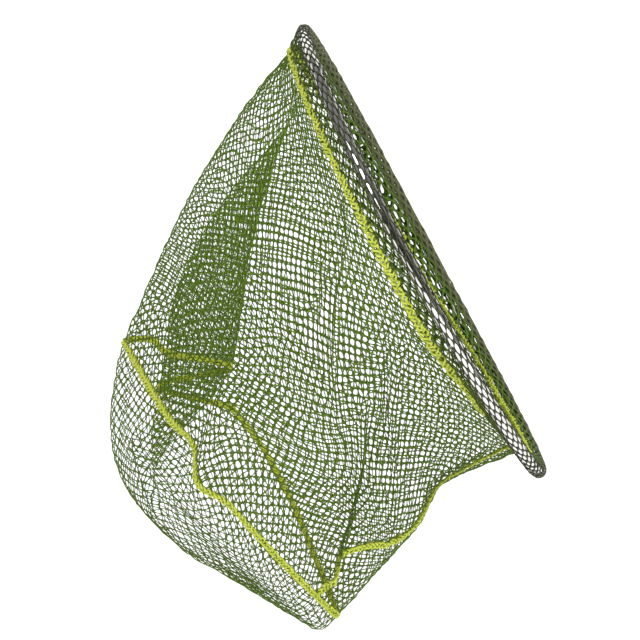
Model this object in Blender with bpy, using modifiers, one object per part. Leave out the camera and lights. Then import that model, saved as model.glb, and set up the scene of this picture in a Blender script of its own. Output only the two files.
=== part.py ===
"""A landing net bag on its round hoop, as it hangs from the top of the hoop. Metres, +Z up.

The hoop stands in a plane that holds the Y axis and leans out at its foot, towards +X. The bag hangs from
it towards -X. The origin is the top of the hoop, in its sleeve, where the net hangs.

Every place on the bag is an angle and a fall. The angle goes round the hoop: 0 at its top, 90 on the near
side (-Y), 180 at its foot and 270 on the far side. The fall is 0 at the rim seam, 1 at the lower seam and
2 at the middle of the bottom.
"""

from collections import namedtuple

import bpy
import numpy as np

MM = 0.001

# The hoop, in millimetres.
HOOP_RADIUS = 248.4
HOOP_LEAN = np.radians(28.2)  # from the vertical
HOOP_BEND = 5.0  # the sides of the hoop bend this far towards the bag
ROD_RADIUS = 6.0
HOOP_TOP = np.array([-0.27, 0.0, -7.99])  # the middle of the rod at the top
DOWN_HOOP = np.array([np.sin(HOOP_LEAN), 0.0, -np.cos(HOOP_LEAN)])
OUT_OF_MOUTH = np.array([np.cos(HOOP_LEAN), 0.0, np.sin(HOOP_LEAN)])
FARTHER = np.array([0.0, 1.0, 0.0])
HOOP_MIDDLE = HOOP_TOP + HOOP_RADIUS * DOWN_HOOP

# The sleeve: a band folded over the rod. Its depth is measured from the middle of the rod.
SLEEVE_THICK = 1.3
SLEEVE_DEPTH = 17.0
# The band leans in to the hoop's middle, most at the foot, where the rod lies on the seam.
Lean = namedtuple("Lean", "angle lean")
SLEEVE_LEANS = (
    Lean(0, 29),
    Lean(40, 18),
    Lean(85, 8),
    Lean(105, 14),
    Lean(125, 50),
    Lean(140, 60),
    Lean(180, 76),
    Lean(215, 68),
    Lean(235, 60),
    Lean(270, 28),
    Lean(320, 18),
    Lean(360, 29),
)
Fold = namedtuple("Fold", "out depth")
SLEEVE_SECTION = (
    Fold(1.0, SLEEVE_DEPTH),
    Fold(7.04, 1.89),
    Fold(6.85, -2.49),
    Fold(4.18, -5.97),
    Fold(0.0, -7.29),
    Fold(-4.18, -5.97),
    Fold(-6.85, -2.49),
    Fold(-7.04, 1.89),
    Fold(-1.0, SLEEVE_DEPTH),
)

# The net and its seams.
NET_THICK = 1.5
SEAM_THICK = 3.0
SEAM_WIDE = 7.0
SEAM_GAP = 0.6
RING_GAP = 0.85  # beside the ring seams, where the net turns
SIDE_SEAM_START = 0.003  # a fall, just clear of the rim seam
RIM_SEAM_TOP = SLEEVE_DEPTH + SEAM_GAP
RIM_SEAM_END = RIM_SEAM_TOP + 6.0
WALL_DEPTH = RIM_SEAM_END + RING_GAP
RIM_BLEND_FALL = 0.12  # the fall over which the wall leaves the rim seam for its own rings
SMALL_STEP = 0.01  # a short step of angle or fall, to measure along the bag
TINY = 1e-6  # keeps the last ring, a point, from a division by zero

# The bag's rings: where each crosses the top edge and the low edge, its half depth along Y, and how tightly
# its two sides meet at the top and at the low edge. far_lift raises the far side of the ring, and overlap
# and fold_at are the far pleat's width and angle.
Station = namedtuple(
    "Station", "fall top_x top_z low_x low_z half_depth tight_top tight_low far_lift overlap fold_at"
)
STATIONS = (
    Station(0.00, -14, -26, 216, -444, 247, 0.30, 0.30, 0, 0, 33),
    Station(0.10, -36, -52, 194, -436, 240, 0.42, 0.34, 2, 11, 34),
    Station(0.20, -57, -79, 170, -444, 229, 0.50, 0.38, 4, 22, 36),
    Station(0.35, -85, -121, 136, -462, 210, 0.59, 0.42, 8, 37, 37),
    Station(0.50, -112, -165, 117, -496, 191, 0.65, 0.45, 12, 49, 39),
    Station(0.65, -136, -212, 94, -524, 173, 0.69, 0.48, 17, 57, 42),
    Station(0.80, -157, -259, 68, -553, 158, 0.72, 0.52, 23, 62, 46),
    Station(1.00, -182, -318, 33, -592, 141, 0.73, 0.60, 29, 62, 53),
    Station(1.12, -189, -342, 16, -607, 125, 0.73, 0.64, 26, 54, 54),
    Station(1.25, -194, -370, -9, -595, 106, 0.72, 0.66, 19, 40, 55),
    Station(1.40, -196, -400, -36, -579, 82, 0.68, 0.64, 10, 20, 57),
    Station(1.60, -190, -441, -71, -558, 50, 0.55, 0.55, 3, 3, 60),
    Station(1.80, -172, -477, -108, -537, 23, 0.35, 0.35, 0, 0, 60),
    Station(2.00, -141, -512, -141, -512, 0, 0.30, 0.30, 0, 0, 60),
)
FAR_SKEW = 0.6  # the far side is raised more towards the top of the ring
PLEAT_WIDE = 19.0  # degrees between the middle of the pleat and its end
PLEAT_REACH = 1.05  # how far each edge of the pleat goes over, as a share of its overlap

# Creases run from one place to another, as ridges (+) or troughs (-) of this height and width.
Crease = namedtuple("Crease", "angle_a fall_a angle_b fall_b height wide")
CREASES = (
    Crease(117, 0.28, 147, 0.97, -9, 9),
    Crease(100, 0.06, 163, 0.72, 7, 9),
    Crease(70, 0.10, 103, 0.52, -6, 9),
    Crease(47, 1.24, 84, 1.52, -6, 8),
    Crease(115, 1.00, 146, 1.14, 6, 8),
)
CREASE_END = 0.25  # the share of a crease over which it fades at each end

# Tugs move a place on the bag across its ring, towards the rim, and fade over a width in angle and fall.
Tug = namedtuple("Tug", "angle fall lift angle_wide fall_wide")
TUGS = (
    Tug(73, 1.00, 7, 7, 0.16),
    Tug(85, 1.00, -13, 7, 0.16),
    Tug(336, 1.00, 13, 13, 0.30),
)

# The side seam's angle along the fall.
Bend = namedtuple("Bend", "fall angle")
SIDE_SEAM = (
    Bend(0.00, 160),
    Bend(0.15, 164),
    Bend(0.30, 169),
    Bend(0.45, 171),
    Bend(0.55, 170),
    Bend(0.65, 161),
    Bend(0.72, 150),
    Bend(0.80, 143),
    Bend(0.90, 144),
    Bend(1.00, 146),
)

# How finely the solids are cut.
COLUMNS = 78
WALL_ROWS = 21
BOTTOM_ROWS = 8
BOTTOM_END = 1.92  # the fall of the last row before the middle
PLEAT_COLUMNS = 2.6  # how much closer the columns stand at the pleat
PLEAT_MIDDLE = 314.0  # the pleat's mean angle and spread, in degrees
PLEAT_SPREAD = 24.0
FINE_STEPS = 721

Finish = namedtuple("Finish", "colour roughness metallic")
ROD_METAL = Finish((0.600, 0.600, 0.570), 0.20, 1.0)
OLIVE_TWINE = Finish((0.070, 0.072, 0.030), 0.75, 0.0)
GREEN_TWINE = Finish((0.110, 0.210, 0.045), 0.65, 0.0)
YELLOW_YARN = Finish((0.560, 0.640, 0.060), 0.70, 0.0)


def smooth_step(x):
    """0 below 0, 1 above 1, and smooth between."""
    x = np.clip(x, 0.0, 1.0)
    return x * x * (3.0 - 2.0 * x)


def through(rows, name, place):
    """One column of a table at a place along its first column, read from a smooth curve through its rows."""
    knots = np.array([row[0] for row in rows], float)
    values = np.array([getattr(row, name) for row in rows], float)
    slopes = np.gradient(values, knots)
    place = np.clip(place, knots[0], knots[-1])
    i = np.clip(np.searchsorted(knots, place, side="right") - 1, 0, len(knots) - 2)
    step = knots[i + 1] - knots[i]
    x = (place - knots[i]) / step
    rise = x * x * (3.0 - 2.0 * x)
    start = x * (1.0 - x) ** 2 * step
    end = x * x * (x - 1.0) * step
    return values[i] + rise * (values[i + 1] - values[i]) + start * slopes[i] + end * slopes[i + 1]


def vectors(x, y, z):
    """One array of points from their coordinates."""
    return np.stack(np.broadcast_arrays(x, y, z), axis=-1)


def rod_line(angle):
    """The middle of the rod."""
    a = angle[..., None]
    ring = HOOP_MIDDLE - HOOP_RADIUS * (np.cos(a) * DOWN_HOOP + np.sin(a) * FARTHER)
    return ring - HOOP_BEND * np.sin(a) ** 2 * OUT_OF_MOUTH


def sleeve_point(angle, out, depth):
    """A point of the band that hangs on the rod, out from its middle and at a depth below the rod."""
    a = angle[..., None]
    lean = np.radians(through(SLEEVE_LEANS, "lean", np.degrees(a) % 360.0))
    outward = -np.cos(a) * DOWN_HOOP - np.sin(a) * FARTHER
    along = -np.cos(lean) * OUT_OF_MOUTH - np.sin(lean) * outward
    across = np.cos(lean) * outward - np.sin(lean) * OUT_OF_MOUTH
    return rod_line(angle) + np.asarray(out)[..., None] * across + np.asarray(depth)[..., None] * along


def pleat_shift(angle, overlap, fold_at):
    """How far the far wall goes over to +X and back in its S-shaped pleat."""
    from_top = 360.0 - np.degrees(angle) % 360.0
    q = (from_top - fold_at) / PLEAT_WIDE
    return -PLEAT_REACH * overlap * np.sin(np.pi * q) * np.maximum(1.0 - q * q, 0.0)


def crease_rise(angle, fall, half_width):
    """The height of all the creases at one place."""
    degrees = np.degrees(angle) % 360.0
    rise = np.zeros_like(degrees)
    for c in CREASES:
        share = (fall - c.fall_a) / (c.fall_b - c.fall_a)
        off = np.radians(degrees - c.angle_a - share * (c.angle_b - c.angle_a)) * half_width
        ends = smooth_step(share / CREASE_END) * smooth_step((1.0 - share) / CREASE_END)
        rise = rise + c.height * ends * np.exp(-((off / c.wide) ** 2))
    return rise


def tug_lift(angle, fall):
    """How far all the tugs move one place towards the rim."""
    degrees = np.degrees(angle) % 360.0
    lift = np.zeros_like(degrees)
    for t in TUGS:
        off = ((degrees - t.angle) / t.angle_wide) ** 2 + ((fall - t.fall) / t.fall_wide) ** 2
        lift = lift + t.lift * np.exp(-off)
    return lift


def ring_point(angle, fall):
    """A point of the bag from the table of rings alone."""
    row = {name: through(STATIONS, name, fall) for name in Station._fields[1:]}
    half_x = (row["low_x"] - row["top_x"]) / 2.0
    half_z = (row["low_z"] - row["top_z"]) / 2.0
    half = np.maximum(np.hypot(half_x, half_z), TINY)
    far = np.maximum(-np.sin(angle), 0.0) ** 2 * (1.0 + FAR_SKEW * np.cos(angle)) * row["far_lift"]
    tight = row["tight_low"] + (row["tight_top"] - row["tight_low"]) * smooth_step(0.5 + 0.5 * np.cos(angle))
    side = np.sin(angle) * (1.0 - tight * np.cos(angle) ** 2)
    rise = crease_rise(angle, fall, half)
    far = far + tug_lift(angle, fall)
    x = row["top_x"] + half_x * (1.0 - np.cos(angle))
    x = x - far * half_z / half - rise * np.cos(angle) * half_x / half
    x = x + pleat_shift(angle, row["overlap"], row["fold_at"])
    y = -row["half_depth"] * side - rise * np.sin(angle)
    z = row["top_z"] + half_z * (1.0 - np.cos(angle))
    z = z + far * half_x / half - rise * np.cos(angle) * half_z / half
    return vectors(x, y, z)


def bag_point(angle, fall):
    """A point of the bag, which starts at the rim seam and runs into its own rings."""
    angle, fall = np.broadcast_arrays(angle, fall)
    start = sleeve_point(angle, 0.0, WALL_DEPTH) - ring_point(angle, np.zeros_like(fall))
    return ring_point(angle, fall) + start * (1.0 - smooth_step(fall / RIM_BLEND_FALL))[..., None]


def seam_angle(fall):
    """The angle of the side seam at a fall."""
    return np.radians(through(SIDE_SEAM, "angle", fall))


def columns(first, last):
    """The angles of a ring's columns from first to last, closer together at the far pleat."""
    share = np.linspace(0.0, 1.0, FINE_STEPS)
    degrees = (np.degrees(first) + 360.0 * share) % 360.0
    weight = 1.0 + PLEAT_COLUMNS * np.exp(-(((degrees - PLEAT_MIDDLE) / PLEAT_SPREAD) ** 2))
    sums = np.concatenate(([0.0], np.cumsum((weight[1:] + weight[:-1]) / 2.0)))
    even = np.interp(np.linspace(0.0, sums[-1], COLUMNS + 1), sums, share)
    return first + (last - first) * even


def seam_half_angle(fall, distance):
    """The angle that goes with a distance square to the side seam, which slants across the wall."""
    middle = seam_angle(fall)
    around = bag_point(middle + SMALL_STEP, fall) - bag_point(middle - SMALL_STEP, fall)
    around = around / (2.0 * SMALL_STEP)
    above = fall - SMALL_STEP
    below = fall + SMALL_STEP
    down = bag_point(seam_angle(below), below) - bag_point(seam_angle(above), above)
    return distance * np.linalg.norm(down) / np.linalg.norm(np.cross(around, down))


def round_columns(fall):
    """The angles of one ring's columns, from one side of the side seam round to its other side."""
    middle = seam_angle(fall)
    half = seam_half_angle(fall, SEAM_WIDE / 2.0 + RING_GAP)
    return columns(middle + half, middle + 2 * np.pi - half)


def fresh_collection(name):
    """Clears the scene and gives a collection for the object."""
    for old in list(bpy.data.objects):
        bpy.data.objects.remove(old, do_unlink=True)
    collection = bpy.data.collections.new(name)
    bpy.context.scene.collection.children.link(collection)
    return collection


def dress(obj, finish):
    """Gives an object its own Principled material."""
    material = bpy.data.materials.new(obj.name)
    material.use_nodes = True
    shader = material.node_tree.nodes["Principled BSDF"]
    shader.inputs["Base Color"].default_value = (*finish.colour, 1.0)
    shader.inputs["Roughness"].default_value = finish.roughness
    shader.inputs["Metallic"].default_value = finish.metallic
    obj.data.materials.append(material)


def sheet(collection, name, rows, thick, finish, closed=True, tip=None):
    """A lofted sheet through rows of points, with its thickness from Solidify.

    closed joins each row's end to its start, and tip closes the last row to one point.
    """
    rows = np.asarray(rows)
    down, across = rows.shape[:2]
    points = [tuple(p * MM) for p in rows.reshape(-1, 3)]
    faces = []
    for r in range(down - 1):
        for c in range(across if closed else across - 1):
            d = (c + 1) % across
            faces.append((r * across + c, (r + 1) * across + c, (r + 1) * across + d, r * across + d))
    if tip is not None:
        points.append(tuple(tip * MM))
        last = (down - 1) * across
        faces += [(last + c, len(points) - 1, last + (c + 1) % across) for c in range(across)]
    mesh = bpy.data.meshes.new(name)
    mesh.from_pydata(points, [], faces)
    mesh.shade_smooth()
    obj = bpy.data.objects.new(name, mesh)
    collection.objects.link(obj)
    body = obj.modifiers.new("Thickness", "SOLIDIFY")
    body.thickness = thick * MM
    body.offset = 0.0
    dress(obj, finish)


def rod(collection):
    """The round rod of the hoop, a closed curve with a bevel."""
    curve = bpy.data.curves.new("hoop_rod", "CURVE")
    curve.dimensions = "3D"
    curve.bevel_depth = ROD_RADIUS * MM
    curve.bevel_resolution = 2
    line = rod_line(round_columns(0.0))
    spline = curve.splines.new("POLY")
    spline.points.add(len(line) - 1)
    for point, place in zip(spline.points, line):
        point.co = (*(place * MM), 1.0)
    spline.use_cyclic_u = True
    obj = bpy.data.objects.new("hoop_rod", curve)
    collection.objects.link(obj)
    dress(obj, ROD_METAL)


def sleeve(collection):
    """The olive band, folded over the rod, its two edges side by side at the rim seam."""
    angles = round_columns(0.0)
    rows = [sleeve_point(angles, f.out, f.depth) for f in SLEEVE_SECTION]
    sheet(collection, "rim_sleeve", rows, SLEEVE_THICK, OLIVE_TWINE)


def rim_seam(collection):
    """The yellow seam between the sleeve and the wall."""
    angles = round_columns(0.0)
    rows = [sleeve_point(angles, 0.0, depth) for depth in (RIM_SEAM_TOP, RIM_SEAM_END)]
    sheet(collection, "seam_ring_1", rows, SEAM_THICK, YELLOW_YARN)


def fall_of(angle, distance):
    """How much fall goes with a distance down the bag from the lower seam, which is negative above it."""
    step = -SMALL_STEP if distance < 0.0 else SMALL_STEP
    run = np.linalg.norm(bag_point(angle, 1.0 + step) - bag_point(angle, 1.0), axis=-1)
    return step * abs(distance) / run


def wall(collection):
    """The green wall, from one side of the side seam round to its other side."""
    rows = []
    for share in np.linspace(0.0, 1.0, WALL_ROWS):
        angles = round_columns(share)
        end = 1.0 + fall_of(angles, -SEAM_WIDE / 2.0 - RING_GAP)
        rows.append(bag_point(angles, share * end))
    sheet(collection, "net_wall", rows, NET_THICK, GREEN_TWINE, closed=False)


def side_seam(collection):
    """The yellow seam that closes the wall, which fills the slit between the wall's two edges."""
    rows = []
    for share in np.linspace(0.0, 1.0, WALL_ROWS):
        middle = seam_angle(share)
        half = seam_half_angle(share, SEAM_WIDE / 2.0)
        angles = np.array([middle - half, middle + half])
        end = 1.0 + fall_of(angles, -SEAM_WIDE / 2.0 - RING_GAP)
        rows.append(bag_point(angles, SIDE_SEAM_START + (end - SIDE_SEAM_START) * share))
    sheet(collection, "seam_side", rows, SEAM_THICK, YELLOW_YARN, closed=False)


def low_seam(collection):
    """The yellow seam between the wall and the bottom."""
    angles = round_columns(1.0)
    falls = [1.0 + fall_of(angles, distance) for distance in (-SEAM_WIDE / 2.0, SEAM_WIDE / 2.0)]
    rows = [bag_point(angles, fall) for fall in falls]
    sheet(collection, "seam_ring_2", rows, SEAM_THICK, YELLOW_YARN)


def bottom(collection):
    """The green slack bottom, a bowl that closes at its middle."""
    angles = round_columns(1.0)
    start = 1.0 + fall_of(angles, SEAM_WIDE / 2.0 + RING_GAP)
    shares = np.linspace(0.0, 1.0, BOTTOM_ROWS)
    rows = [bag_point(angles, start + (BOTTOM_END - start) * share) for share in shares]
    middle = bag_point(np.array(0.0), np.array(2.0))
    sheet(collection, "net_bottom", rows, NET_THICK, GREEN_TWINE, tip=middle)


def main():
    """Builds the net."""
    collection = fresh_collection("landing_net_bag")
    rod(collection)
    sleeve(collection)
    rim_seam(collection)
    wall(collection)
    side_seam(collection)
    low_seam(collection)
    bottom(collection)


if __name__ == "__main__":
    main()
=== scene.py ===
"""The dress of a landing net bag that hangs from the top of its round hoop. Metres, +Z up.

The solids give the bag's form. Here its green net is laid out strand by strand on that form, its seams are
plaited from yellow yarn, and its rod is a smooth bright tube. Every place on the bag is an angle and a fall:
the angle is 0 at the hoop's top, 90 degrees on the near side (-Y), 180 at its foot and 270 on the far side,
and the fall is 0 at the rim seam, 1 at the lower seam and 2 at the middle of the bottom.
"""

import logging
from dataclasses import dataclass
from enum import Enum
from typing import NamedTuple

import bpy
import numpy as np
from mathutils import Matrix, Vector


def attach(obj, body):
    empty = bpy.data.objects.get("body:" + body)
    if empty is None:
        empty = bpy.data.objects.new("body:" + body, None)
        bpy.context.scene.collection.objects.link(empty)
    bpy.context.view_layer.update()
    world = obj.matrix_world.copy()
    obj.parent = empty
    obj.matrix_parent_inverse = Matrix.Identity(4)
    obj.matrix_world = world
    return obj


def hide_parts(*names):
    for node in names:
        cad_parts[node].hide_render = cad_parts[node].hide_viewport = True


MM = 0.001
TINY = 1e-6
TURN = 2.0 * np.pi
FARWARDS = np.array([0.0, 1.0, 0.0])  # the way to the far side
BODY = "root"
WALL_FROM = 24.35  # millimetres down from the rod's middle to the wall
SMALL_STEP = 0.01  # a short step of angle or fall, to measure which way the bag runs
FAR_BLEND = 90.0  # millimetres along Y from the near side's twine colours to the far side's painted light and shade
LOG = logging.getLogger("landing_net")

Array = np.ndarray
Colour = tuple[float, float, float]
Piece = bpy.types.Object
Socket = bpy.types.NodeSocket

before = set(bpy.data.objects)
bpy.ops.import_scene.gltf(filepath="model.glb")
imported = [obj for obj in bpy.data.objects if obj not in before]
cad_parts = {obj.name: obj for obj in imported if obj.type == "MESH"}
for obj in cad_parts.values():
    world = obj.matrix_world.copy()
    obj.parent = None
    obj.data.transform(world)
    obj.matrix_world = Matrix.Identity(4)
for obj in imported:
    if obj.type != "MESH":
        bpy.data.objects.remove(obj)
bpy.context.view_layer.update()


class Slot(Enum):
    """The names of the material slots, which are passed to each piece but not used."""

    ROD = "rod"
    OLIVE = "olive_twine"
    GREEN = "green_twine"
    YELLOW = "yellow_yarn"


# ------------ measures


def smooth_step(x: Array) -> Array:
    """Runs from 0 to 1, smooth at both ends.

    Args:
        x: any numbers.

    Returns:
        0 where x is under 0, 1 where it is over 1, and a smooth rise between.
    """
    x = np.clip(x, 0.0, 1.0)
    return x * x * (3.0 - 2.0 * x)


def unit(v: Array) -> Array:
    """Vectors cut to a length of 1."""
    return v / np.maximum(np.linalg.norm(v, axis=-1, keepdims=True), TINY)


def through(rows: tuple, name: str, place: Array) -> Array:
    """Reads one column of a table from a smooth curve through its rows.

    Args:
        rows: the table, whose first column is where each row stands.
        name: the column.
        place: where to read it.

    Returns:
        The column's value at each place.
    """
    knots = np.array([row[0] for row in rows], float)
    values = np.array([getattr(row, name) for row in rows], float)
    slopes = np.gradient(values, knots)
    place = np.clip(place, knots[0], knots[-1])
    i = np.clip(np.searchsorted(knots, place, side="right") - 1, 0, len(knots) - 2)
    step = knots[i + 1] - knots[i]
    x = (place - knots[i]) / step
    rise = smooth_step(x)
    start = x * (1.0 - x) ** 2 * step
    end = x * x * (x - 1.0) * step
    return values[i] + rise * (values[i + 1] - values[i]) + start * slopes[i] + end * slopes[i + 1]


class Stretch(NamedTuple):
    """A stretch of the way round the hoop, in degrees, with how softly it comes in and goes out."""

    start: float
    rise: float
    end: float
    drop: float

    def share(self, degrees: Array) -> Array:
        """1 inside the stretch and 0 outside it."""
        return smooth_step((degrees - self.start) / self.rise) * smooth_step((self.end - degrees) / self.drop)


class Ring(NamedTuple):
    """One ring of the bag: where it crosses the top and low edges, how deep it is, how tightly its two sides
    meet there, and its far pleat.
    """

    fall: float
    top_x: float
    top_z: float
    low_x: float
    low_z: float
    half_depth: float
    tight_top: float
    tight_low: float
    far_lift: float
    overlap: float
    fold_at: float


class Crease(NamedTuple):
    """A soft ridge (+) or trough (-) from one place to another, with its height and width."""

    angle_a: float
    fall_a: float
    angle_b: float
    fall_b: float
    height: float
    wide: float


class Tug(NamedTuple):
    """A place pulled across its ring towards the rim, fading over a width in angle and fall."""

    angle: float
    fall: float
    lift: float
    angle_wide: float
    fall_wide: float


class Knot(NamedTuple):
    """A place along a curve, and its value there in degrees."""

    at: float
    degrees: float


RINGS = (
    Ring(0.00, -14, -26, 216, -444, 247, 0.30, 0.30, 0, 0, 33),
    Ring(0.10, -36, -52, 194, -436, 240, 0.42, 0.34, 2, 11, 34),
    Ring(0.20, -57, -79, 170, -444, 229, 0.50, 0.38, 4, 22, 36),
    Ring(0.35, -85, -121, 136, -462, 210, 0.59, 0.42, 8, 37, 37),
    Ring(0.50, -112, -165, 117, -496, 191, 0.65, 0.45, 12, 49, 39),
    Ring(0.65, -136, -212, 94, -524, 173, 0.69, 0.48, 17, 57, 42),
    Ring(0.80, -157, -259, 68, -553, 158, 0.72, 0.52, 23, 62, 46),
    Ring(1.00, -182, -318, 33, -592, 141, 0.73, 0.60, 29, 62, 53),
    Ring(1.12, -189, -342, 16, -607, 125, 0.73, 0.64, 26, 54, 54),
    Ring(1.25, -194, -370, -9, -595, 106, 0.72, 0.66, 19, 40, 55),
    Ring(1.40, -196, -400, -36, -579, 82, 0.68, 0.64, 10, 20, 57),
    Ring(1.60, -190, -441, -71, -558, 50, 0.55, 0.55, 3, 3, 60),
    Ring(1.80, -172, -477, -108, -537, 23, 0.35, 0.35, 0, 0, 60),
    Ring(2.00, -141, -512, -141, -512, 0, 0.30, 0.30, 0, 0, 60),
)
CREASES = (
    Crease(117, 0.28, 147, 0.97, -9, 7),
    Crease(100, 0.06, 163, 0.72, 7, 7),
    Crease(70, 0.10, 103, 0.52, -6, 7),
    Crease(47, 1.24, 84, 1.52, -6, 7),
    Crease(115, 1.00, 146, 1.14, 6, 6),
    Crease(97, 0.10, 151, 0.58, -8, 4),
    Crease(108, 0.10, 120, 0.26, -5, 4),
    Crease(73, 0.66, 79, 0.99, 5, 6),
    Crease(154, 0.06, 162, 0.46, 8, 5),
    Crease(66, -0.08, 114, 0.56, 12, 5.5),
    Crease(108, 0.26, 152, 1.04, 14, 6),
    Crease(43, 1.24, 84, 1.70, 11, 6),
)
TUGS = (
    Tug(73, 1.00, 7, 7, 0.16),
    Tug(85, 1.00, -13, 7, 0.16),
    Tug(336, 1.00, 13, 13, 0.30),
)
# How far the band leans in to the hoop's middle, at angles round the hoop.
LEANS = (
    *(Knot(0, 29), Knot(40, 18), Knot(85, 8), Knot(105, 14), Knot(125, 50), Knot(140, 60)),
    *(Knot(180, 76), Knot(215, 68), Knot(235, 60), Knot(270, 28), Knot(320, 18), Knot(360, 29)),
)
# The side seam's angle, at falls down the wall.
SIDE_SEAM = (
    *(Knot(0.00, 160), Knot(0.15, 164), Knot(0.30, 169), Knot(0.45, 171), Knot(0.55, 170)),
    *(Knot(0.65, 161), Knot(0.72, 150), Knot(0.80, 143), Knot(0.90, 144), Knot(1.00, 146)),
)


@dataclass(frozen=True)
class Hoop:
    """The round hoop and the band that hangs on it, in millimetres."""

    radius: float = 248.4
    lean: float = 28.2
    bend: float = 5.0
    top_x: float = -0.27
    top_z: float = -7.99

    @property
    def down(self) -> Array:
        """The way from the hoop's top to its foot."""
        lean = np.radians(self.lean)
        return np.array([np.sin(lean), 0.0, -np.cos(lean)])

    @property
    def out(self) -> Array:
        """The way out of the bag's mouth."""
        lean = np.radians(self.lean)
        return np.array([np.cos(lean), 0.0, np.sin(lean)])

    def outward(self, angle: Array) -> Array:
        """The way from the hoop's middle to its rod."""
        a = angle[..., None]
        return -np.cos(a) * self.down - np.sin(a) * FARWARDS

    def rod_line(self, angle: Array) -> Array:
        """The middle of the rod."""
        top = np.array([self.top_x, 0.0, self.top_z])
        middle = top + self.radius * self.down
        bent = self.bend * np.sin(angle)[..., None] ** 2 * self.out
        return middle + self.radius * self.outward(angle) - bent

    def band_ways(self, angle: Array) -> tuple[Array, Array]:
        """Which way the band hangs and which way it faces.

        Args:
            angle: places round the hoop.

        Returns:
            The way down the band and the way square to it, away from the hoop's middle.
        """
        lean = np.radians(through(LEANS, "degrees", np.degrees(angle)[..., None] % 360.0))
        outward = self.outward(angle)
        along = -np.cos(lean) * self.out - np.sin(lean) * outward
        across = np.cos(lean) * outward - np.sin(lean) * self.out
        return along, across

    def band(self, angle: Array, out: Array, depth: Array) -> Array:
        """A point of the band.

        Args:
            angle: places round the hoop.
            out: how far out from the band's middle.
            depth: how far down from the middle of the rod.

        Returns:
            The points.
        """
        along, across = self.band_ways(angle)
        outwards = np.asarray(out)[..., None] * across
        return self.rod_line(angle) + outwards + np.asarray(depth)[..., None] * along


@dataclass(frozen=True)
class Bag:
    """The hung form of the bag, in millimetres."""

    hoop: Hoop
    rim_blend: float = 0.12
    far_skew: float = 0.6
    pleat_wide: float = 19.0
    pleat_reach: float = 1.05
    crease_end: float = 0.25
    fold_before: float = 8.0
    fold_wide: float = 7.0

    def pleat_shift(self, angle: Array, overlap: Array, fold_at: Array) -> Array:
        """How far the far wall goes over to +X and back in its S-shaped pleat.

        Args:
            angle: places round the bag.
            overlap: the pleat's width there.
            fold_at: the pleat's angle from the top there.

        Returns:
            The shift along X.
        """
        from_top = 360.0 - np.degrees(angle) % 360.0
        q = (from_top - fold_at) / self.pleat_wide
        return -self.pleat_reach * overlap * np.sin(np.pi * q) * np.maximum(1.0 - q * q, 0.0)

    def crease_rise(self, angle: Array, fall: Array, half_width: Array) -> Array:
        """The height of all the creases at a place.

        Args:
            angle: places round the bag.
            fall: their falls.
            half_width: half the bag's width there.

        Returns:
            The height, out of the bag.
        """
        degrees = np.degrees(angle) % 360.0
        rise = np.zeros_like(degrees)
        for c in CREASES:
            share = (fall - c.fall_a) / (c.fall_b - c.fall_a)
            off = np.radians(degrees - c.angle_a - share * (c.angle_b - c.angle_a)) * half_width
            ends = smooth_step(share / self.crease_end) * smooth_step((1.0 - share) / self.crease_end)
            rise = rise + c.height * ends * np.exp(-((off / c.wide) ** 2))
        return rise

    def tug_lift(self, angle: Array, fall: Array) -> Array:
        """How far all the tugs move a place towards the rim."""
        degrees = np.degrees(angle) % 360.0
        lift = np.zeros_like(degrees)
        for t in TUGS:
            off = ((degrees - t.angle) / t.angle_wide) ** 2 + ((fall - t.fall) / t.fall_wide) ** 2
            lift = lift + t.lift * np.exp(-off)
        return lift

    def ring_point(self, angle: Array, fall: Array) -> Array:
        """A point of the bag from the table of rings alone."""
        row = {name: through(RINGS, name, fall) for name in Ring._fields[1:]}
        half_x = (row["low_x"] - row["top_x"]) / 2.0
        half_z = (row["low_z"] - row["top_z"]) / 2.0
        half = np.maximum(np.hypot(half_x, half_z), TINY)
        far = np.maximum(-np.sin(angle), 0.0) ** 2 * (1.0 + self.far_skew * np.cos(angle)) * row["far_lift"]
        far = far + self.tug_lift(angle, fall)
        upper = smooth_step(0.5 + 0.5 * np.cos(angle))
        tight = row["tight_low"] + (row["tight_top"] - row["tight_low"]) * upper
        side = np.sin(angle) * (1.0 - tight * np.cos(angle) ** 2)
        rise = self.crease_rise(angle, fall, half)
        x = row["top_x"] + half_x * (1.0 - np.cos(angle))
        x = x - far * half_z / half - rise * np.cos(angle) * half_x / half
        x = x + self.pleat_shift(angle, row["overlap"], row["fold_at"])
        y = -row["half_depth"] * side - rise * np.sin(angle)
        z = row["top_z"] + half_z * (1.0 - np.cos(angle))
        z = z + far * half_x / half - rise * np.cos(angle) * half_z / half
        return np.stack(np.broadcast_arrays(x, y, z), axis=-1)

    def point(self, angle: Array, fall: Array) -> Array:
        """A point of the bag, which starts at the rim seam and runs into its own rings.

        Args:
            angle: places round the bag.
            fall: their falls.

        Returns:
            The points, in millimetres.
        """
        angle, fall = np.broadcast_arrays(angle, fall)
        start = self.hoop.band(angle, 0.0, WALL_FROM) - self.ring_point(angle, np.zeros_like(fall))
        return self.ring_point(angle, fall) + start * (1.0 - smooth_step(fall / self.rim_blend))[..., None]


# ------------ finishes


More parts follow.
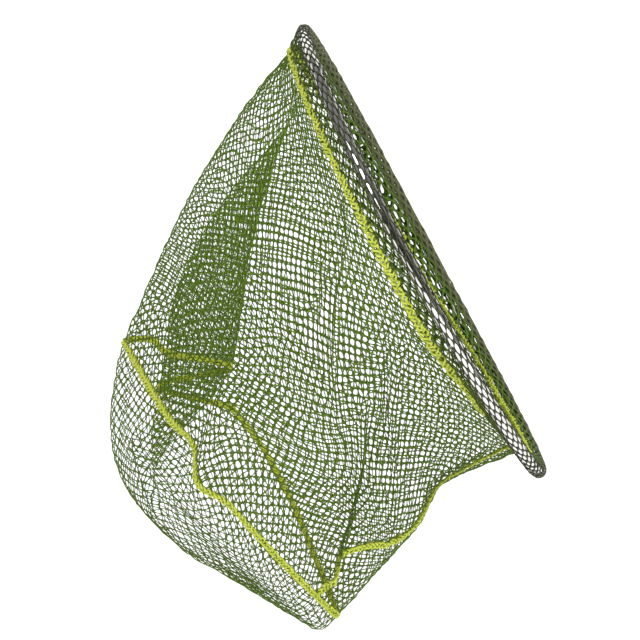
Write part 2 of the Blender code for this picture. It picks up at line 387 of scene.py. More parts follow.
class Shade:
    """A Principled material with its nodes."""

    MIX_COLOURS = (6, 7)  # where a Mix node takes its two colours
    MIX_RESULT = 2  # and where it gives the blend

    def __init__(self, name: str) -> None:
        """Starts the material.

        Args:
            name: its name.
        """
        self.material = bpy.data.materials.new(name)
        self.material.use_nodes = True
        self.tree = self.material.node_tree
        self.shader = self.tree.nodes["Principled BSDF"]
        self.place = self.tree.nodes.new("ShaderNodeTexCoord").outputs["Object"]

    def link(self, start: Socket, end: Socket) -> None:
        """Joins two sockets."""
        self.tree.links.new(start, end)

    def noise(self, scale: float, detail: float, low: float, high: float) -> Socket:
        """Soft mottling, from 0 to 1.

        Args:
            scale: how fine it is, in spots a metre.
            detail: how many finer layers it has.
            low: the noise that gives 0.
            high: the noise that gives 1.

        Returns:
            The mottling's value.
        """
        spots = self.tree.nodes.new("ShaderNodeTexNoise")
        spots.inputs["Scale"].default_value = scale
        spots.inputs["Detail"].default_value = detail
        self.link(self.place, spots.inputs["Vector"])
        reach = self.tree.nodes.new("ShaderNodeMapRange")
        reach.inputs["From Min"].default_value = low
        reach.inputs["From Max"].default_value = high
        self.link(spots.outputs["Fac"], reach.inputs["Value"])
        return reach.outputs["Result"]

    def mix(self, share: Socket, first: object, second: object) -> Socket:
        """A blend of two colours.

        Args:
            share: how much of the second.
            first: a colour, or the socket of one.
            second: a colour, or the socket of one.

        Returns:
            The blended colour.
        """
        node = self.tree.nodes.new("ShaderNodeMix")
        node.data_type = "RGBA"
        self.link(share, node.inputs["Factor"])
        for index, value in zip(self.MIX_COLOURS, (first, second)):
            if isinstance(value, Socket):
                self.link(value, node.inputs[index])
            else:
                node.inputs[index].default_value = (*value, 1.0)
        return node.outputs[self.MIX_RESULT]

    def attribute(self, name: str) -> Socket:
        """A number kept on the piece's points."""
        node = self.tree.nodes.new("ShaderNodeAttribute")
        node.attribute_name = name
        return node.outputs["Fac"]

    def bump(self, height: Socket, strength: float, depth: float) -> None:
        """Raises the surface a little.

        Args:
            height: the height, from 0 to 1.
            strength: how much of it shows.
            depth: the height in metres at 1.
        """
        node = self.tree.nodes.new("ShaderNodeBump")
        node.inputs["Strength"].default_value = strength
        node.inputs["Distance"].default_value = depth
        self.link(height, node.inputs["Height"])
        self.link(node.outputs["Normal"], self.shader.inputs["Normal"])


@dataclass(frozen=True)
class TwineFinish:
    """Spun twine: a crown painted as lit and sides darkened with painted shade, mottled along its length, with a
    fibre's bump.

    On the far side of the bag the twine takes other colours, painted light and shade for the far side's inner
    faces as lit through the mouth.
    """

    name: str
    crown: Colour
    side: Colour
    faded: Colour
    far_crown: Colour
    far_side: Colour
    roughness: float = 0.7
    shine: float = 0.08
    sheen: float = 0.05
    sheen_spread: float = 0.5
    mottle: float = 240.0
    fibre: float = 1600.0
    fibre_shows: float = 0.35
    fibre_high: float = 0.0003

    def material(self) -> bpy.types.Material:
        """The finish as a material.

        Returns:
            A new material.
        """
        shade = Shade(self.name)
        mottled = shade.mix(shade.noise(self.mottle, detail=3.0, low=0.35, high=0.68), self.crown, self.faded)
        # painted shade: the twine darkens from its crown to its sides and the edges of the holes
        near = shade.mix(shade.attribute("side"), mottled, self.side)
        # painted light and shade: the far side's own lit crown and shaded sides, for its inner faces lit through
        # the mouth
        far = shade.mix(shade.attribute("side"), self.far_crown, self.far_side)
        colour = shade.mix(shade.attribute("far"), near, far)
        shade.link(colour, shade.shader.inputs["Base Color"])
        shade.shader.inputs["Roughness"].default_value = self.roughness
        shade.shader.inputs["Specular IOR Level"].default_value = self.shine
        shade.shader.inputs["Sheen Weight"].default_value = self.sheen
        shade.shader.inputs["Sheen Roughness"].default_value = self.sheen_spread
        spun = shade.noise(self.fibre, detail=2.0, low=0.3, high=0.7)
        shade.bump(spun, self.fibre_shows, self.fibre_high)
        return shade.material


@dataclass(frozen=True)
class RodFinish:
    """Bright drawn aluminium, with faint scuffs."""

    name: str = "rod_bright_aluminium"
    bright: Colour = (0.820, 0.815, 0.790)
    scuffed: Colour = (0.560, 0.555, 0.540)
    roughness: float = 0.12
    scuffs: float = 90.0
    grain: float = 900.0
    grain_shows: float = 0.05
    grain_high: float = 0.0002

    def material(self) -> bpy.types.Material:
        """The finish as a material.

        Returns:
            A new material.
        """
        shade = Shade(self.name)
        scuffs = shade.noise(self.scuffs, detail=4.0, low=0.52, high=0.8)
        colour = shade.mix(scuffs, self.bright, self.scuffed)
        shade.link(colour, shade.shader.inputs["Base Color"])
        shade.shader.inputs["Metallic"].default_value = 1.0
        shade.shader.inputs["Roughness"].default_value = self.roughness
        drawn = shade.noise(self.grain, detail=2.0, low=0.3, high=0.7)
        shade.bump(drawn, self.grain_shows, self.grain_high)
        return shade.material


# In each finish, crown and side are lit and shaded copies of the twine's colour, painted light and shade, and
# faded is its random mottle; far_crown and far_side are the far side's painted light and shade.
GREEN = TwineFinish(
    "green_net_twine",
    crown=(0.088, 0.164, 0.010),
    side=(0.009, 0.019, 0.002),
    faded=(0.140, 0.232, 0.016),
    far_crown=(0.175, 0.300, 0.018),
    far_side=(0.040, 0.076, 0.006),
)
BORDER = TwineFinish(
    "green_border_twine",
    crown=(0.075, 0.135, 0.014),
    side=(0.010, 0.018, 0.004),
    faded=(0.120, 0.200, 0.022),
    far_crown=(0.095, 0.170, 0.020),
    far_side=(0.030, 0.054, 0.010),
)
OLIVE = TwineFinish(
    "olive_band_twine",
    crown=(0.055, 0.062, 0.026),
    side=(0.010, 0.012, 0.006),
    faded=(0.100, 0.115, 0.048),
    far_crown=(0.100, 0.114, 0.048),
    far_side=(0.054, 0.062, 0.028),
)
YELLOW = TwineFinish(
    "yellow_seam_yarn",
    crown=(0.480, 0.560, 0.045),
    side=(0.090, 0.120, 0.008),
    faded=(0.640, 0.700, 0.130),
    far_crown=(0.420, 0.480, 0.045),
    far_side=(0.120, 0.150, 0.012),
    fibre=1200.0,
)


# ------------ pieces


def finished(
    name: str, points: Array, faces: list, side: Array, finish: TwineFinish, slot: Slot, node: str
) -> Piece:
    """Makes a piece of twine or yarn, dresses it, ties it to the body and hides its solid.

    Args:
        name: the piece's name.
        points: its points, in millimetres.
        faces: its faces.
        side: 0 on each point of a strand's crown, and 1 on its sides, where painted shade darkens it.
        finish: its finish.
        slot: a material slot; not used.
        node: the solid that it stands for.

    Returns:
        The piece.
    """
    mesh = bpy.data.meshes.new(name)
    mesh.from_pydata((points * MM).tolist(), [], faces)
    # how far each point is towards the far side, where the twine takes its painted light and shade
    far = smooth_step(0.5 + points[:, 1] / FAR_BLEND)
    for label, values in (("side", side), ("far", far)):
        mesh.attributes.new(label, "FLOAT", "POINT").data.foreach_set("value", values.astype(np.float32))
    mesh.shade_smooth()
    piece = bpy.data.objects.new(name, mesh)
    bpy.context.scene.collection.objects.link(piece)
    mesh.materials.append(finish.material())
    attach(piece, BODY)
    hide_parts(node)
    triangles = sum(len(face) - 2 for face in faces)
    LOG.info("%s: %d triangles, %.0f x %.0f x %.0f mm", name, triangles, *np.ptp(points, axis=0))
    return piece


@dataclass(frozen=True)
class Twine:
    """The netting's twine: half its width and height, how far its knots fill a hole, and the most that it may."""

    half_wide: float
    half_high: float
    knot: float
    most: float = 0.62

    def netting(self, knots: Array, cells: Array, thicker: Array | float = 1.0) -> tuple[Array, list, Array]:
        """Closed strands round each hole of a net, with rounded corners at its knots.

        Args:
            knots: the places of the knots.
            cells: the four knots round each hole, in order.
            thicker: how much thicker the twine is round each hole, one number for each.

        Returns:
            The points, the faces, and 1 on each point beside a hole, where painted shade darkens the twine.
        """
        used, cells = np.unique(cells, return_inverse=True)
        cells = cells.reshape(-1, 4)
        knots = knots[used]
        corner = knots[cells]
        following = np.roll(corner, -1, axis=1)
        centre = corner.mean(axis=1, keepdims=True)
        facing = unit(np.cross(corner[:, 2] - corner[:, 0], corner[:, 3] - corner[:, 1]))
        lift = np.zeros_like(knots)
        for i in range(4):
            np.add.at(lift, cells[:, i], facing)
        lift = unit(lift) * self.half_high
        middle = (corner + following) / 2.0
        thicker = np.reshape(thicker, (-1, 1, 1))
        holes = []
        for start, wide, way in (
            (corner, self.knot, centre - corner),
            (middle, self.half_wide, np.cross(centre - middle, unit(following - corner))),
        ):
            share = thicker * wide / np.maximum(np.linalg.norm(way, axis=-1, keepdims=True), TINY)
            holes.append((start + (centre - start) * np.minimum(share, self.most)).reshape(-1, 3))
        count = len(knots)
        total = len(cells)
        points = np.concatenate((knots + lift, knots - lift, *holes))
        at_corner = 2 * count + np.arange(4 * total).reshape(-1, 4)
        at_side = at_corner + 4 * total
        faces = []
        for i in range(4):
            here = cells[:, i]
            after = cells[:, (i + 1) % 4]
            c = at_corner[:, i]
            m = at_side[:, i]
            before = at_side[:, i - 1]
            faces += [(here, after, m), (here, m, c), (here, c, before)]
            here, after = here + count, after + count
            faces += [(after, here, m), (here, c, m), (here, before, c)]
        faces = np.concatenate([np.stack(face, axis=1) for face in faces]).tolist()
        faces += self.edge_faces(cells, count)
        # painted shade: the points beside the holes take the twine's darker, shaded colour
        side = np.zeros(len(points))
        side[2 * count :] = 1.0
        return points, faces, side

    @staticmethod
    def edge_faces(cells: Array, count: int) -> list:
        """The faces that close the net's outer strands.

        Args:
            cells: the four knots round each hole, in order.
            count: the number of knots.

        Returns:
            A face for each strand with a hole on one side only.
        """
        strands = np.stack((cells, np.roll(cells, -1, axis=1)), axis=-1).reshape(-1, 2)
        known = set(map(tuple, strands.tolist()))
        outer = [(a, b) for a, b in known if (b, a) not in known]
        return [(b, a, a + count, b + count) for a, b in sorted(outer)]


class Lay:
    """How netting lies on the bag: shares of the way round and distances down, as angles and falls."""

    ROUND_POINTS = 2881  # the points that measure one ring

    def __init__(self, bag: Bag, falls: Array, columns: int, start: Array, gather: float = 0.0) -> None:
        """Measures the bag.

        Args:
            bag: its form.
            falls: the falls to measure at, in the order in which the netting runs.
            columns: the number of columns round it.
            start: the angle of the first column at each fall.
            gather: the share of the slack that is taken up at the far fold, where the columns stand closest.
        """
        fine = start[:, None] + np.linspace(0.0, TURN, self.ROUND_POINTS)
        rings = bag.point(fine, falls[:, None])
        steps = np.linalg.norm(np.diff(rings, axis=1), axis=-1)
        none = np.zeros((len(falls), 1))
        runs = np.concatenate((none, np.cumsum(steps, axis=1)), axis=1)
        from_top = 360.0 - np.degrees(fine) % 360.0
        fold = through(RINGS, "fold_at", falls)[:, None] - bag.fold_before
        close = steps * np.exp(-(((from_top[:, 1:] - fold) / bag.fold_wide) ** 2))
        closes = np.concatenate((none, np.cumsum(close, axis=1)), axis=1)
        girth = runs[:, -1:]
        slack = gather * (1.0 - girth / girth.max())
        gathered = closes / np.maximum(closes[:, -1:], TINY)
        counts = runs / np.maximum(girth, TINY) * (1.0 - slack) + gathered * slack
        shares = np.linspace(0.0, 1.0, columns + 1)
        self.falls = falls
        self.angles = np.stack([np.interp(shares, count, row) for count, row in zip(counts, fine)])
        places = np.stack([np.interp(shares, count, run) for count, run in zip(counts, runs)])
        self.half_wide = np.diff(places, axis=1, append=places[:, :1] + girth)
        self.half_wide[:, -1] = self.half_wide[:, 0]
        lines = bag.point(self.angles, falls[:, None])
        self.steps = np.linalg.norm(np.diff(lines, axis=0), axis=-1)

    def distances(self) -> Array:
        """How far each column has run at each fall."""
        return np.concatenate((np.zeros((1, self.steps.shape[1])), np.cumsum(self.steps, axis=0)))


def diamonds(row: int, columns: int, way: int) -> list:
    """The holes of one row of a net that hangs by the corners of its meshes.

    Args:
        row: the row of knots across the middle of the holes.
        columns: the number of columns, two for each hole.
        way: 1 if the rows run down the cloth's outer face, and -1 if they run up it.

    Returns:
        The four knots round each hole, in order.
    """
    over, level, under = (row - way) * columns, row * columns, (row + way) * columns
    ks = range(1 - row % 2, columns, 2)
    return [(over + k, level + (k + 1) % columns, under + k, level + (k - 1) % columns) for k in ks]


@dataclass(frozen=True)
class WallNet:
    """The wall's netting: diamonds that hang by a corner from the rim seam, the same number in each row.

    They are pulled wide at the rim, and close up towards the bottom and at the far fold.
    """

    bag: Bag
    across: int = 116
    mesh_side: float = 7.6
    flattest: float = 0.33
    gather: float = 0.5
    wander: float = 0.45
    even_rows: float = 3.0
    keep_from: float = 0.4
    past_step: float = 0.02
    levels: int = 221
    seed: int = 11
    twine: Twine = Twine(half_wide=0.56, half_high=0.58, knot=1.75)

    def lattice(self) -> tuple[Array, Array]:
        """Lays out the knots.

        Returns:
            The knots, and the four knots round each hole.
        """
        falls = np.linspace(0.0, 1.0, self.levels)
        columns = 2 * self.across
        start = np.radians(through(SIDE_SEAM, "degrees", falls))
        lay = Lay(self.bag, falls, columns, start, self.gather)
        least = (self.flattest * self.mesh_side) ** 2
        half_high = np.sqrt(np.maximum(self.mesh_side**2 - lay.half_wide**2, least))
        half_high = (half_high[1:] + half_high[:-1]) / 2.0
        rows_at = np.concatenate((np.zeros((1, columns + 1)), np.cumsum(lay.steps / half_high, axis=0)))
        last = rows_at[-1]
        rows = np.arange(int(last.max()) + 2)
        fall = np.stack([np.interp(rows, rows_at[:, k], falls) for k in range(columns)], axis=1)
        angle = np.stack([np.interp(fall[:, k], falls, lay.angles[:, k]) for k in range(columns)], axis=1)
        knots = self.bag.point(angle, fall)
        past = np.maximum(rows[:, None] - last[None, :columns], 0.0)
        shaken = np.random.default_rng(self.seed).normal(size=knots.shape) * self.wander
        shaken = shaken * smooth_step(rows / self.even_rows)[:, None, None] * (past == 0.0)[..., None]
        down = unit(knots - self.bag.point(angle, fall - SMALL_STEP))
        knots = knots + shaken + down * past[..., None] * self.past_step
        cells = []
        for row in range(1, len(rows) - 1):
            kept = last > row - self.keep_from
            cells += [cell for cell in diamonds(row, columns, 1) if kept[cell[0] % columns]]
        return knots.reshape(-1, 3), np.array(cells)

    def build(self) -> Piece:
        """Makes the wall's net.

        Returns:
            The piece.
        """
        return finished("wall_net", *self.twine.netting(*self.lattice()), GREEN, Slot.GREEN, "net_wall")


@dataclass(frozen=True)
class BottomNet:
    """The bottom's netting: a flat round of even meshes, sewn in below the wall, where it sags."""

    bag: Bag
    mesh_side: float = 8.0
    turned: float = 45.0
    off_middle: float = 0.5
    wander: float = 0.5
    levels: int = 161
    columns: int = 720
    seed: int = 5
    twine: Twine = Twine(half_wide=0.41, half_high=0.45, knot=1.35)

    def lattice(self) -> tuple[Array, Array]:
        """Lays out the knots.

        Returns:
            The knots, and the four knots round each hole.
        """
        falls = np.linspace(2.0, 1.0, self.levels)
        lay = Lay(self.bag, falls, self.columns, np.zeros_like(falls))
        far = lay.distances()
        half = int(far[-1].max() / self.mesh_side) + 2
        count = 2 * half + 1
        grid = np.arange(-half, half + 1) * self.mesh_side
        flat = (grid[:, None] + 1j * grid) * np.exp(1j * np.radians(self.turned)) + self.off_middle
        column = (np.angle(flat) % TURN) / TURN * self.columns
        first = np.minimum(column.astype(int), self.columns - 1)
        share = column - first
        radius = np.abs(flat)
        edge = far[-1, first] * (1.0 - share) + far[-1, first + 1] * share
        angle, fall = np.zeros((2, *radius.shape))
        for i, j in np.ndindex(radius.shape):
            inside = min(radius[i, j] / edge[i, j], 1.0)
            beside = ((first[i, j], 1.0 - share[i, j]), (first[i, j] + 1, share[i, j]))
            fall[i, j] = sum(w * np.interp(inside * far[-1, k], far[:, k], falls) for k, w in beside)
            angle[i, j] = sum(w * np.interp(-fall[i, j], -falls, lay.angles[:, k]) for k, w in beside)
        knots = self.bag.point(angle, fall)
        shaken = np.random.default_rng(self.seed).normal(size=knots.shape) * self.wander
        knots = knots + shaken * (radius < edge - self.mesh_side)[..., None]
        i, j = np.indices((count - 1, count - 1))
        middle = (radius[:-1, :-1] + radius[1:, 1:]) / 2.0
        limit = (edge[:-1, :-1] + edge[1:, 1:]) / 2.0
        corner = (i * count + j)[middle < limit]
        cells = np.stack((corner, corner + 1, corner + count + 1, corner + count), axis=1)
        return knots.reshape(-1, 3), cells

    def build(self) -> Piece:
        """Makes the bottom's net.

        Returns:
            The piece.
        """
        return finished("bottom_net", *self.twine.netting(*self.lattice()), GREEN, Slot.GREEN, "net_bottom")


@dataclass(frozen=True)
class BandNet:
    """The netting folded over the rod: long olive meshes over the rod, and green ones down to the wall.

    The far_ and border_ sizes say how much looser and thicker it lies on the hoop's far side.
    """

    hoop: Hoop
    across: int = 96
    outer_rows: int = 4
    rod_rows: int = 10
    inner_rows: int = 4
    depth: float = 6.5
    outer_end: float = WALL_FROM
    inner_end: float = 22.5
    over: float = 6.7
    over_from: float = -15.0
    over_to: float = 195.0
    over_points: int = 29
    over_end: float = 0.75
    bulge: float = 1.0
    wander: float = 0.25
    far_wander: float = 2.0
    far_thicker: float = 5.5
    border_thicker: float = 1.8
    far_slip: float = 0.8
    far_blend: float = 1.2
    seed: int = 3
    twine: Twine = Twine(half_wide=0.42, half_high=0.45, knot=1.7, most=0.88)
    border_twine: Twine = Twine(half_wide=0.62, half_high=0.6, knot=1.8, most=0.75)

    def section(self) -> tuple[Array, Array]:
        """The folded netting's section: up its outer face, over the rod and down its inner face.

        Returns:
            How far out and how deep each row of knots is.
        """
        bow = np.radians(np.linspace(self.over_from, self.over_to, self.over_points))
        end = self.over * self.over_end
        out = np.concatenate(([end], self.over * np.cos(bow), [-end]))
        depth = np.concatenate(([self.depth], -self.over * np.sin(bow), [self.depth]))
        run = np.concatenate(([0.0], np.cumsum(np.hypot(np.diff(out), np.diff(depth)))))
        even = np.linspace(0.0, run[-1], self.rod_rows + 1)
        outer = np.linspace(self.outer_end, self.depth, self.outer_rows + 1)[:-1]
        inner = np.linspace(self.depth, self.inner_end, self.inner_rows + 1)[1:]
        outer_at = (self.depth, self.inner_end, self.outer_end)
        outer_out = np.interp(outer, outer_at, (out[0], self.bulge, 0.0))
        inner_out = np.interp(inner, (self.depth, self.inner_end), (out[-1], -self.bulge))
        outs = np.concatenate((outer_out, np.interp(even, run, out), inner_out))
        return outs, np.concatenate((outer, np.interp(even, run, depth), inner))

    def build(self) -> tuple[Piece, Piece]:
        """Makes the netting.

        Returns:
            The olive piece and the green piece.
        """
        columns = 2 * self.across
        angle = np.linspace(0.0, TURN, columns, endpoint=False)
        far_side = smooth_step(0.5 - self.far_blend * np.sin(angle))
        outs, depths = self.section()
        rows = len(outs)
        slip = smooth_step((np.arange(rows) - self.outer_rows) / self.rod_rows)[:, None] * self.far_slip
        angles = angle + slip * far_side * np.pi / self.across
        knots = self.hoop.band(angles, outs[:, None], depths[:, None])
        shaken = np.random.default_rng(self.seed).normal(size=knots.shape)
        past_rod = smooth_step((depths - self.depth) / self.depth)[:, None, None]
        more_wander = (self.far_wander - self.wander) * past_rod * far_side[:, None]
        knots = (knots + shaken * (self.wander + more_wander)).reshape(-1, 3)
        olive, green = [], []
        for row in range(1, rows - 1):
            over_rod = self.outer_rows < row < self.outer_rows + self.rod_rows
            (olive if over_rod else green).extend(diamonds(row, columns, -1))
        olive, green = np.array(olive), np.array(green)
        olive_far = 1.0 + (self.far_thicker - 1.0) * far_side[olive[:, 0] % columns]
        green_far = 1.0 + (self.border_thicker - 1.0) * far_side[green[:, 0] % columns]
        olive = self.twine.netting(knots, olive, olive_far)
        green = self.border_twine.netting(knots, green, green_far)
        band = finished("band_net", *olive, OLIVE, Slot.OLIVE, "rim_sleeve")
        return band, finished("border_net", *green, BORDER, Slot.GREEN, "net_wall")


@dataclass(frozen=True)
class Plait:
    """A seam of yellow yarn, three strands plaited flat over the edges that they join."""

    name: str
    node: str
    half_wide: float = 2.9
    half_high: float = 0.95
    yarn: float = 1.45
    period: float = 15.0
    uneven: float = 0.35
    steps: int = 16
    sides: int = 6
    end_narrow: float = 0.3
    end_share: float = 0.025

    def build(self, middle: Array, across: Array, spread: Array, closed: bool) -> Piece:
        """Makes the seam.

        Args:
            middle: points along the seam's middle.
            across: the way across the seam at each of them.
            spread: how wide the seam is there, as a share of its width.
            closed: whether it runs back to its start.

        Returns:
            The piece.
        """
        if closed:
            middle, across, spread = (np.concatenate((row, row[:1])) for row in (middle, across, spread))
        run = np.concatenate(([0.0], np.cumsum(np.linalg.norm(np.diff(middle, axis=0), axis=-1))))
        turns = max(int(round(run[-1] / self.period)), 2)
        count = turns * self.steps + (0 if closed else 1)
        share = np.linspace(0.0, 1.0, count, endpoint=not closed)
        at = share * run[-1]
        line = np.stack([np.interp(at, run, column) for column in middle.T], axis=1)
        wide = unit(np.stack([np.interp(at, run, column) for column in across.T], axis=1))
        ahead = self.ways(line, closed)
        high = unit(np.cross(ahead, wide))
        wide = unit(np.cross(high, ahead))
        ends = np.interp(at, run, spread)
        if not closed:
            inside = smooth_step(np.minimum(share, 1.0 - share) / self.end_share)
            ends = ends * (inside * (1.0 - self.end_narrow) + self.end_narrow)
        random = np.random.default_rng(turns)
        points, faces, side = [], [], []
        for strand in range(3):
            t = TURN * (turns * share + strand / 3.0)
            path = line + (self.half_wide * np.sin(t) * ends)[:, None] * wide
            path = path + (self.half_high * np.sin(2.0 * t))[:, None] * high
            shaken = random.normal(size=(count, 2))
            shaken = shaken + np.roll(shaken, 1, axis=0) + np.roll(shaken, -1, axis=0)
            shaken = shaken * self.uneven / np.sqrt(3.0)
            path = path + shaken[:, :1] * wide + shaken[:, 1:] * high
            base = sum(len(p) for p in points)
            tube, tube_faces, tube_side = self.tube(path, high, np.sqrt(ends), closed)
            points.append(tube)
            side.append(tube_side)
            faces += [tuple(base + v for v in face) for face in tube_faces]
        points = np.concatenate(points)
        return finished(self.name, points, faces, np.concatenate(side), YELLOW, Slot.YELLOW, self.node)

    @staticmethod
    def ways(line: Array, closed: bool) -> Array:
        """The way ahead at each point of a line."""
        if closed:
            return unit(np.roll(line, -1, axis=0) - np.roll(line, 1, axis=0))
        return unit(np.gradient(line, axis=0))

    def tube(self, path: Array, high: Array, ends: Array, closed: bool) -> tuple[Array, list, Array]:
        """One strand of yarn.

        Args:
            path: its middle.
            high: the way out of the seam.
            ends: how thick the strand is along it, as a share.
            closed: whether it runs back to its start.

        Returns:
            Its points, its faces, and how far each point is to its sides, which painted shade darkens.
        """
        ahead = self.ways(path, closed)
        wide = unit(np.cross(ahead, high))
        up = unit(np.cross(wide, ahead))
        turn = np.linspace(0.0, TURN, self.sides, endpoint=False)
        spread = np.cos(turn)[None, :, None] * wide[:, None] + np.sin(turn)[None, :, None] * up[:, None]
        points = (path[:, None] + self.yarn * ends[:, None, None] * spread).reshape(-1, 3)
        count = len(path)
        faces = []
        for i in range(count if closed else count - 1):
            j = (i + 1) % count
            for s in range(self.sides):
                d = (s + 1) % self.sides
                faces.append((i * self.sides + s, i * self.sides + d, j * self.sides + d, j * self.sides + s))
        if not closed:
            faces.append(tuple(range(self.sides - 1, -1, -1)))
            faces.append(tuple((count - 1) * self.sides + s for s in range(self.sides)))
        # painted shade: the yarn darkens towards its sides
        side = np.tile(np.abs(np.cos(turn)) ** 3, count)
        return points, faces, side


@dataclass(frozen=True)
class Seams:
    """The three yellow seams: round the rim, down the side and round the bottom.

    The rim seam is wide on the near side, thin on the far side, and tucked in under the rod from the foot on.
    """

    bag: Bag
    rim_points: int = 720
    rim_depth: float = 20.6
    rim_out: float = 0.7
    tuck: float = 3.6
    tucked: Stretch = Stretch(134.0, 8.0, 290.0, 14.0)
    wider: float = 0.5
    wide: Stretch = Stretch(60.0, 60.0, 150.0, 15.0)
    thinner: float = 0.55
    thin: Stretch = Stretch(220.0, 14.0, 278.0, 14.0)
    low_points: int = 1440
    low_more: float = 0.55
    low_wide_at: float = 45.0
    low_wide_over: float = 24.0
    side_points: int = 201
    side_start: float = 0.5
    side_full_from: float = 0.34
    side_full_over: float = 0.2

    def rim(self) -> Piece:
        """The seam between the band and the wall."""
        angle = np.linspace(0.0, TURN, self.rim_points, endpoint=False)
        degrees = np.degrees(angle)
        out = self.rim_out - self.tuck * self.tucked.share(degrees)
        middle = self.bag.hoop.band(angle, out, np.full_like(angle, self.rim_depth))
        along, _ = self.bag.hoop.band_ways(angle)
        spread = 1.0 + self.wider * self.wide.share(degrees) - self.thinner * self.thin.share(degrees)
        plait = Plait("rim_seam", "seam_ring_1", half_wide=2.5, yarn=1.3, uneven=0.75)
        return plait.build(middle, along, spread, closed=True)

    def low(self) -> Piece:
        """The seam between the wall and the bottom."""
        fine = np.linspace(0.0, TURN, self.low_points, endpoint=False)
        fall = np.ones_like(fine)
        middle = self.bag.point(fine, fall)
        across = self.bag.point(fine, fall + SMALL_STEP) - self.bag.point(fine, fall - SMALL_STEP)
        off = (np.degrees(fine) - self.low_wide_at) / self.low_wide_over
        spread = 1.0 + self.low_more * np.exp(-(off**2))
        plait = Plait("low_seam", "seam_ring_2", half_wide=2.3, yarn=1.3)
        return plait.build(middle, across, spread, closed=True)

    def side(self) -> Piece:
        """The seam that closes the wall."""
        fall = np.linspace(0.0, 1.0, self.side_points)
        angle = np.radians(through(SIDE_SEAM, "degrees", fall))
        middle = self.bag.point(angle, fall)
        across = self.bag.point(angle + SMALL_STEP, fall) - self.bag.point(angle - SMALL_STEP, fall)
        full = smooth_step((fall - self.side_full_from) / self.side_full_over)
        spread = self.side_start + (1.0 - self.side_start) * full
        return Plait("side_seam", "seam_side").build(middle, across, spread, closed=False)


@dataclass(frozen=True)
class Tube:
    """The bright tube of the hoop, which shows through the band."""

    hoop: Hoop
    radius: float = 6.0
    steps: int = 288
    sides: int = 24
    finish: RodFinish = RodFinish()

    def build(self) -> None:
        """Makes the tube as a ring, and bends its sides towards the bag."""
        sizes = {"major_radius": self.hoop.radius * MM, "minor_radius": self.radius * MM}
        bpy.ops.mesh.primitive_torus_add(major_segments=self.steps, minor_segments=self.sides, **sizes)
        tube = bpy.context.active_object
        tube.name = "hoop_tube"
        flat = np.array([vertex.co for vertex in tube.data.vertices]) / MM
        angle = np.arctan2(-flat[:, 1], -flat[:, 0])
        off = np.hypot(flat[:, 0], flat[:, 1]) - self.hoop.radius
        points = self.hoop.rod_line(angle) + off[:, None] * self.hoop.outward(angle)
        points = points + flat[:, 2:] * self.hoop.out
        for vertex, point in zip(tube.data.vertices, points * MM):
            vertex.co = point
        bpy.ops.object.shade_smooth()
        tube.data.materials.append(self.finish.material())
        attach(tube, BODY)
        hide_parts("hoop_rod")
        LOG.info("hoop_tube: %d faces", len(tube.data.polygons))


# ------------ studio


# The square lights: name, place, watts, size in metres, and whether the tube mirrors it.
LAMPS = (
    ("key_light", (-1.6, -2.6, 1.5), 35.0, 1.6, True),
    ("fill_light", (2.2, -1.6, 0.8), 60.0, 1.8, False),
)
# The room as the tube mirrors it: nearly black behind the camera, and grey all round from there.
MIRRORED_ROOM = {"From Min": -0.85, "From Max": -0.55, "To Min": 0.02, "To Max": 0.22}


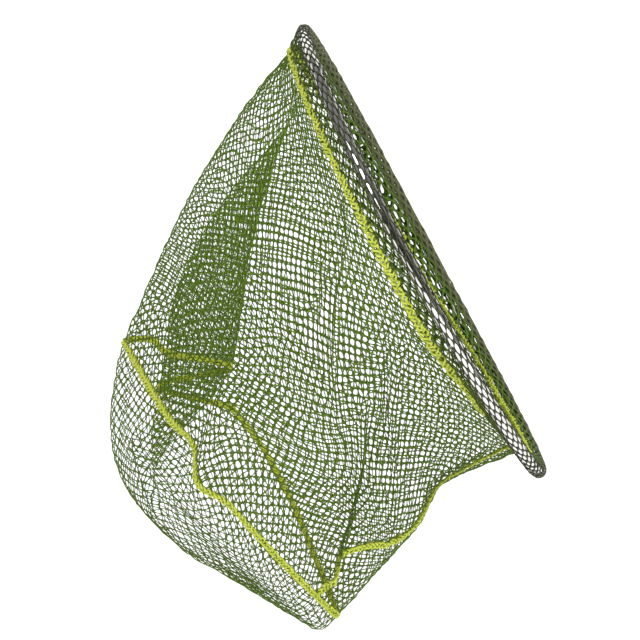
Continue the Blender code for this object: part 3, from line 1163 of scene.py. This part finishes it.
@dataclass(frozen=True)
class Studio:
    """A pale floor that sweeps up behind the net, soft light and the camera."""

    floor_z: float = -0.95
    back_y: float = 1.6
    half_wide: float = 4.0
    front_y: float = -3.2
    high: float = 3.4
    curve: float = 0.9
    curve_steps: int = 16
    white: float = 0.93
    white_roughness: float = 0.9
    room_light: float = 0.85
    target: tuple[float, float, float] = (0.015, 0.0, -0.296)
    distance: float = 4.0
    rise: float = 4.25
    lens: float = 225.0

    def sweep(self) -> None:
        """Makes the floor and the wall behind it, with a wide curve between them."""
        bpy.ops.mesh.primitive_plane_add(size=2.0, location=(0.0, 0.0, 0.0))
        floor = bpy.context.active_object
        floor.name = "studio_floor"
        bpy.ops.object.mode_set(mode="EDIT")
        bpy.ops.mesh.select_all(action="DESELECT")
        bpy.ops.object.mode_set(mode="OBJECT")
        # The plane's four corners go to the floor's, and its back edge is drawn up into the wall.
        for vertex in floor.data.vertices:
            back = vertex.co.y > 0.0
            vertex.co.x *= self.half_wide
            vertex.co.y = self.back_y if back else self.front_y
            vertex.co.z = self.floor_z
        for edge in floor.data.edges:
            edge.select = all(floor.data.vertices[v].co.y > 0.0 for v in edge.vertices)
        bpy.ops.object.mode_set(mode="EDIT")
        bpy.ops.mesh.select_mode(type="EDGE")
        bpy.ops.mesh.extrude_region_move(TRANSFORM_OT_translate={"value": (0.0, 0.0, self.high)})
        bpy.ops.object.mode_set(mode="OBJECT")
        bend = floor.modifiers.new("Sweep", "BEVEL")
        bend.width = self.curve
        bend.segments = self.curve_steps
        bpy.ops.object.modifier_apply(modifier="Sweep")
        bpy.ops.object.shade_smooth()
        shade = Shade("studio_white")
        shade.shader.inputs["Base Color"].default_value = (self.white, self.white, self.white, 1.0)
        shade.shader.inputs["Roughness"].default_value = self.white_roughness
        self.clear_from_behind(shade)
        floor.data.materials.append(shade.material)

    @staticmethod
    def clear_from_behind(shade: Shade) -> None:
        """Lets a camera that stands behind the wall, or under the floor, see through it.

        Args:
            shade: the wall's material.
        """
        nodes = shade.tree.nodes
        behind = nodes.new("ShaderNodeMath")
        behind.operation = "MULTIPLY"
        shade.link(nodes.new("ShaderNodeNewGeometry").outputs["Backfacing"], behind.inputs[0])
        shade.link(nodes.new("ShaderNodeLightPath").outputs["Is Camera Ray"], behind.inputs[1])
        either = nodes.new("ShaderNodeMixShader")
        shade.link(behind.outputs["Value"], either.inputs["Fac"])
        shade.link(shade.shader.outputs["BSDF"], either.inputs[1])
        shade.link(nodes.new("ShaderNodeBsdfTransparent").outputs["BSDF"], either.inputs[2])
        shade.link(either.outputs["Shader"], nodes["Material Output"].inputs["Surface"])

    def lights(self) -> None:
        """Lights the scene softly from all round, and a little more from the front.

        The tube mirrors a darker room than the one that lights the scene.
        """
        world = bpy.data.worlds.new("studio")
        world.use_nodes = True
        tree = world.node_tree
        sky = tree.nodes["Background"]
        sky.inputs["Color"].default_value = (1.0, 1.0, 1.0, 1.0)
        split = tree.nodes.new("ShaderNodeSeparateXYZ")
        tree.links.new(tree.nodes.new("ShaderNodeTexCoord").outputs["Generated"], split.inputs["Vector"])
        room = tree.nodes.new("ShaderNodeMapRange")
        for name, value in MIRRORED_ROOM.items():
            room.inputs[name].default_value = value
        tree.links.new(split.outputs["Y"], room.inputs["Value"])
        seen = tree.nodes.new("ShaderNodeMix")
        seen.inputs["A"].default_value = self.room_light
        path = tree.nodes.new("ShaderNodeLightPath")
        tree.links.new(path.outputs["Is Glossy Ray"], seen.inputs["Factor"])
        tree.links.new(room.outputs["Result"], seen.inputs["B"])
        tree.links.new(seen.outputs["Result"], sky.inputs["Strength"])
        bpy.context.scene.world = world
        for name, place, watts, size, mirrored in LAMPS:
            light = bpy.data.lights.new(name, "AREA")
            light.energy = watts
            light.size = size
            lamp = bpy.data.objects.new(name, light)
            lamp.visible_glossy = mirrored
            lamp.location = place
            way = Vector(self.target) - lamp.location
            lamp.rotation_euler = way.to_track_quat("-Z", "Y").to_euler()
            bpy.context.scene.collection.objects.link(lamp)

    def camera(self, hoop: Hoop) -> None:
        """Places the camera, which looks level across the bag and slightly into its mouth.

        Args:
            hoop: the hoop, whose mouth it looks into.
        """
        rise = np.radians(self.rise)
        back = -np.cos(rise) * FARWARDS + np.sin(rise) * hoop.out
        data = bpy.data.cameras.new("camera")
        data.lens = self.lens
        camera = bpy.data.objects.new("camera", data)
        camera.location = Vector(self.target) + Vector(back * self.distance)
        camera.rotation_mode = "QUATERNION"
        camera.rotation_quaternion = (-Vector(back)).to_track_quat("-Z", "Y")
        bpy.context.scene.collection.objects.link(camera)
        bpy.context.scene.camera = camera

    def build(self, hoop: Hoop) -> None:
        """Sets up the studio.

        Args:
            hoop: the hoop, whose mouth the camera looks into.
        """
        self.sweep()
        self.lights()
        self.camera(hoop)
        bpy.context.scene.view_settings.view_transform = "Standard"
        LOG.info("studio: floor, lights and camera")


def main() -> None:
    """Builds the dressed net."""
    logging.basicConfig(level=logging.INFO, format="%(message)s")
    hoop = Hoop()
    bag = Bag(hoop)
    Tube(hoop).build()
    band, border = BandNet(hoop).build()
    wall = WallNet(bag).build()
    bottom = BottomNet(bag).build()
    seams = Seams(bag)
    rim = seams.rim()
    side = seams.side()
    low = seams.low()
    Studio().build(hoop)


if __name__ == "__main__":
    main()
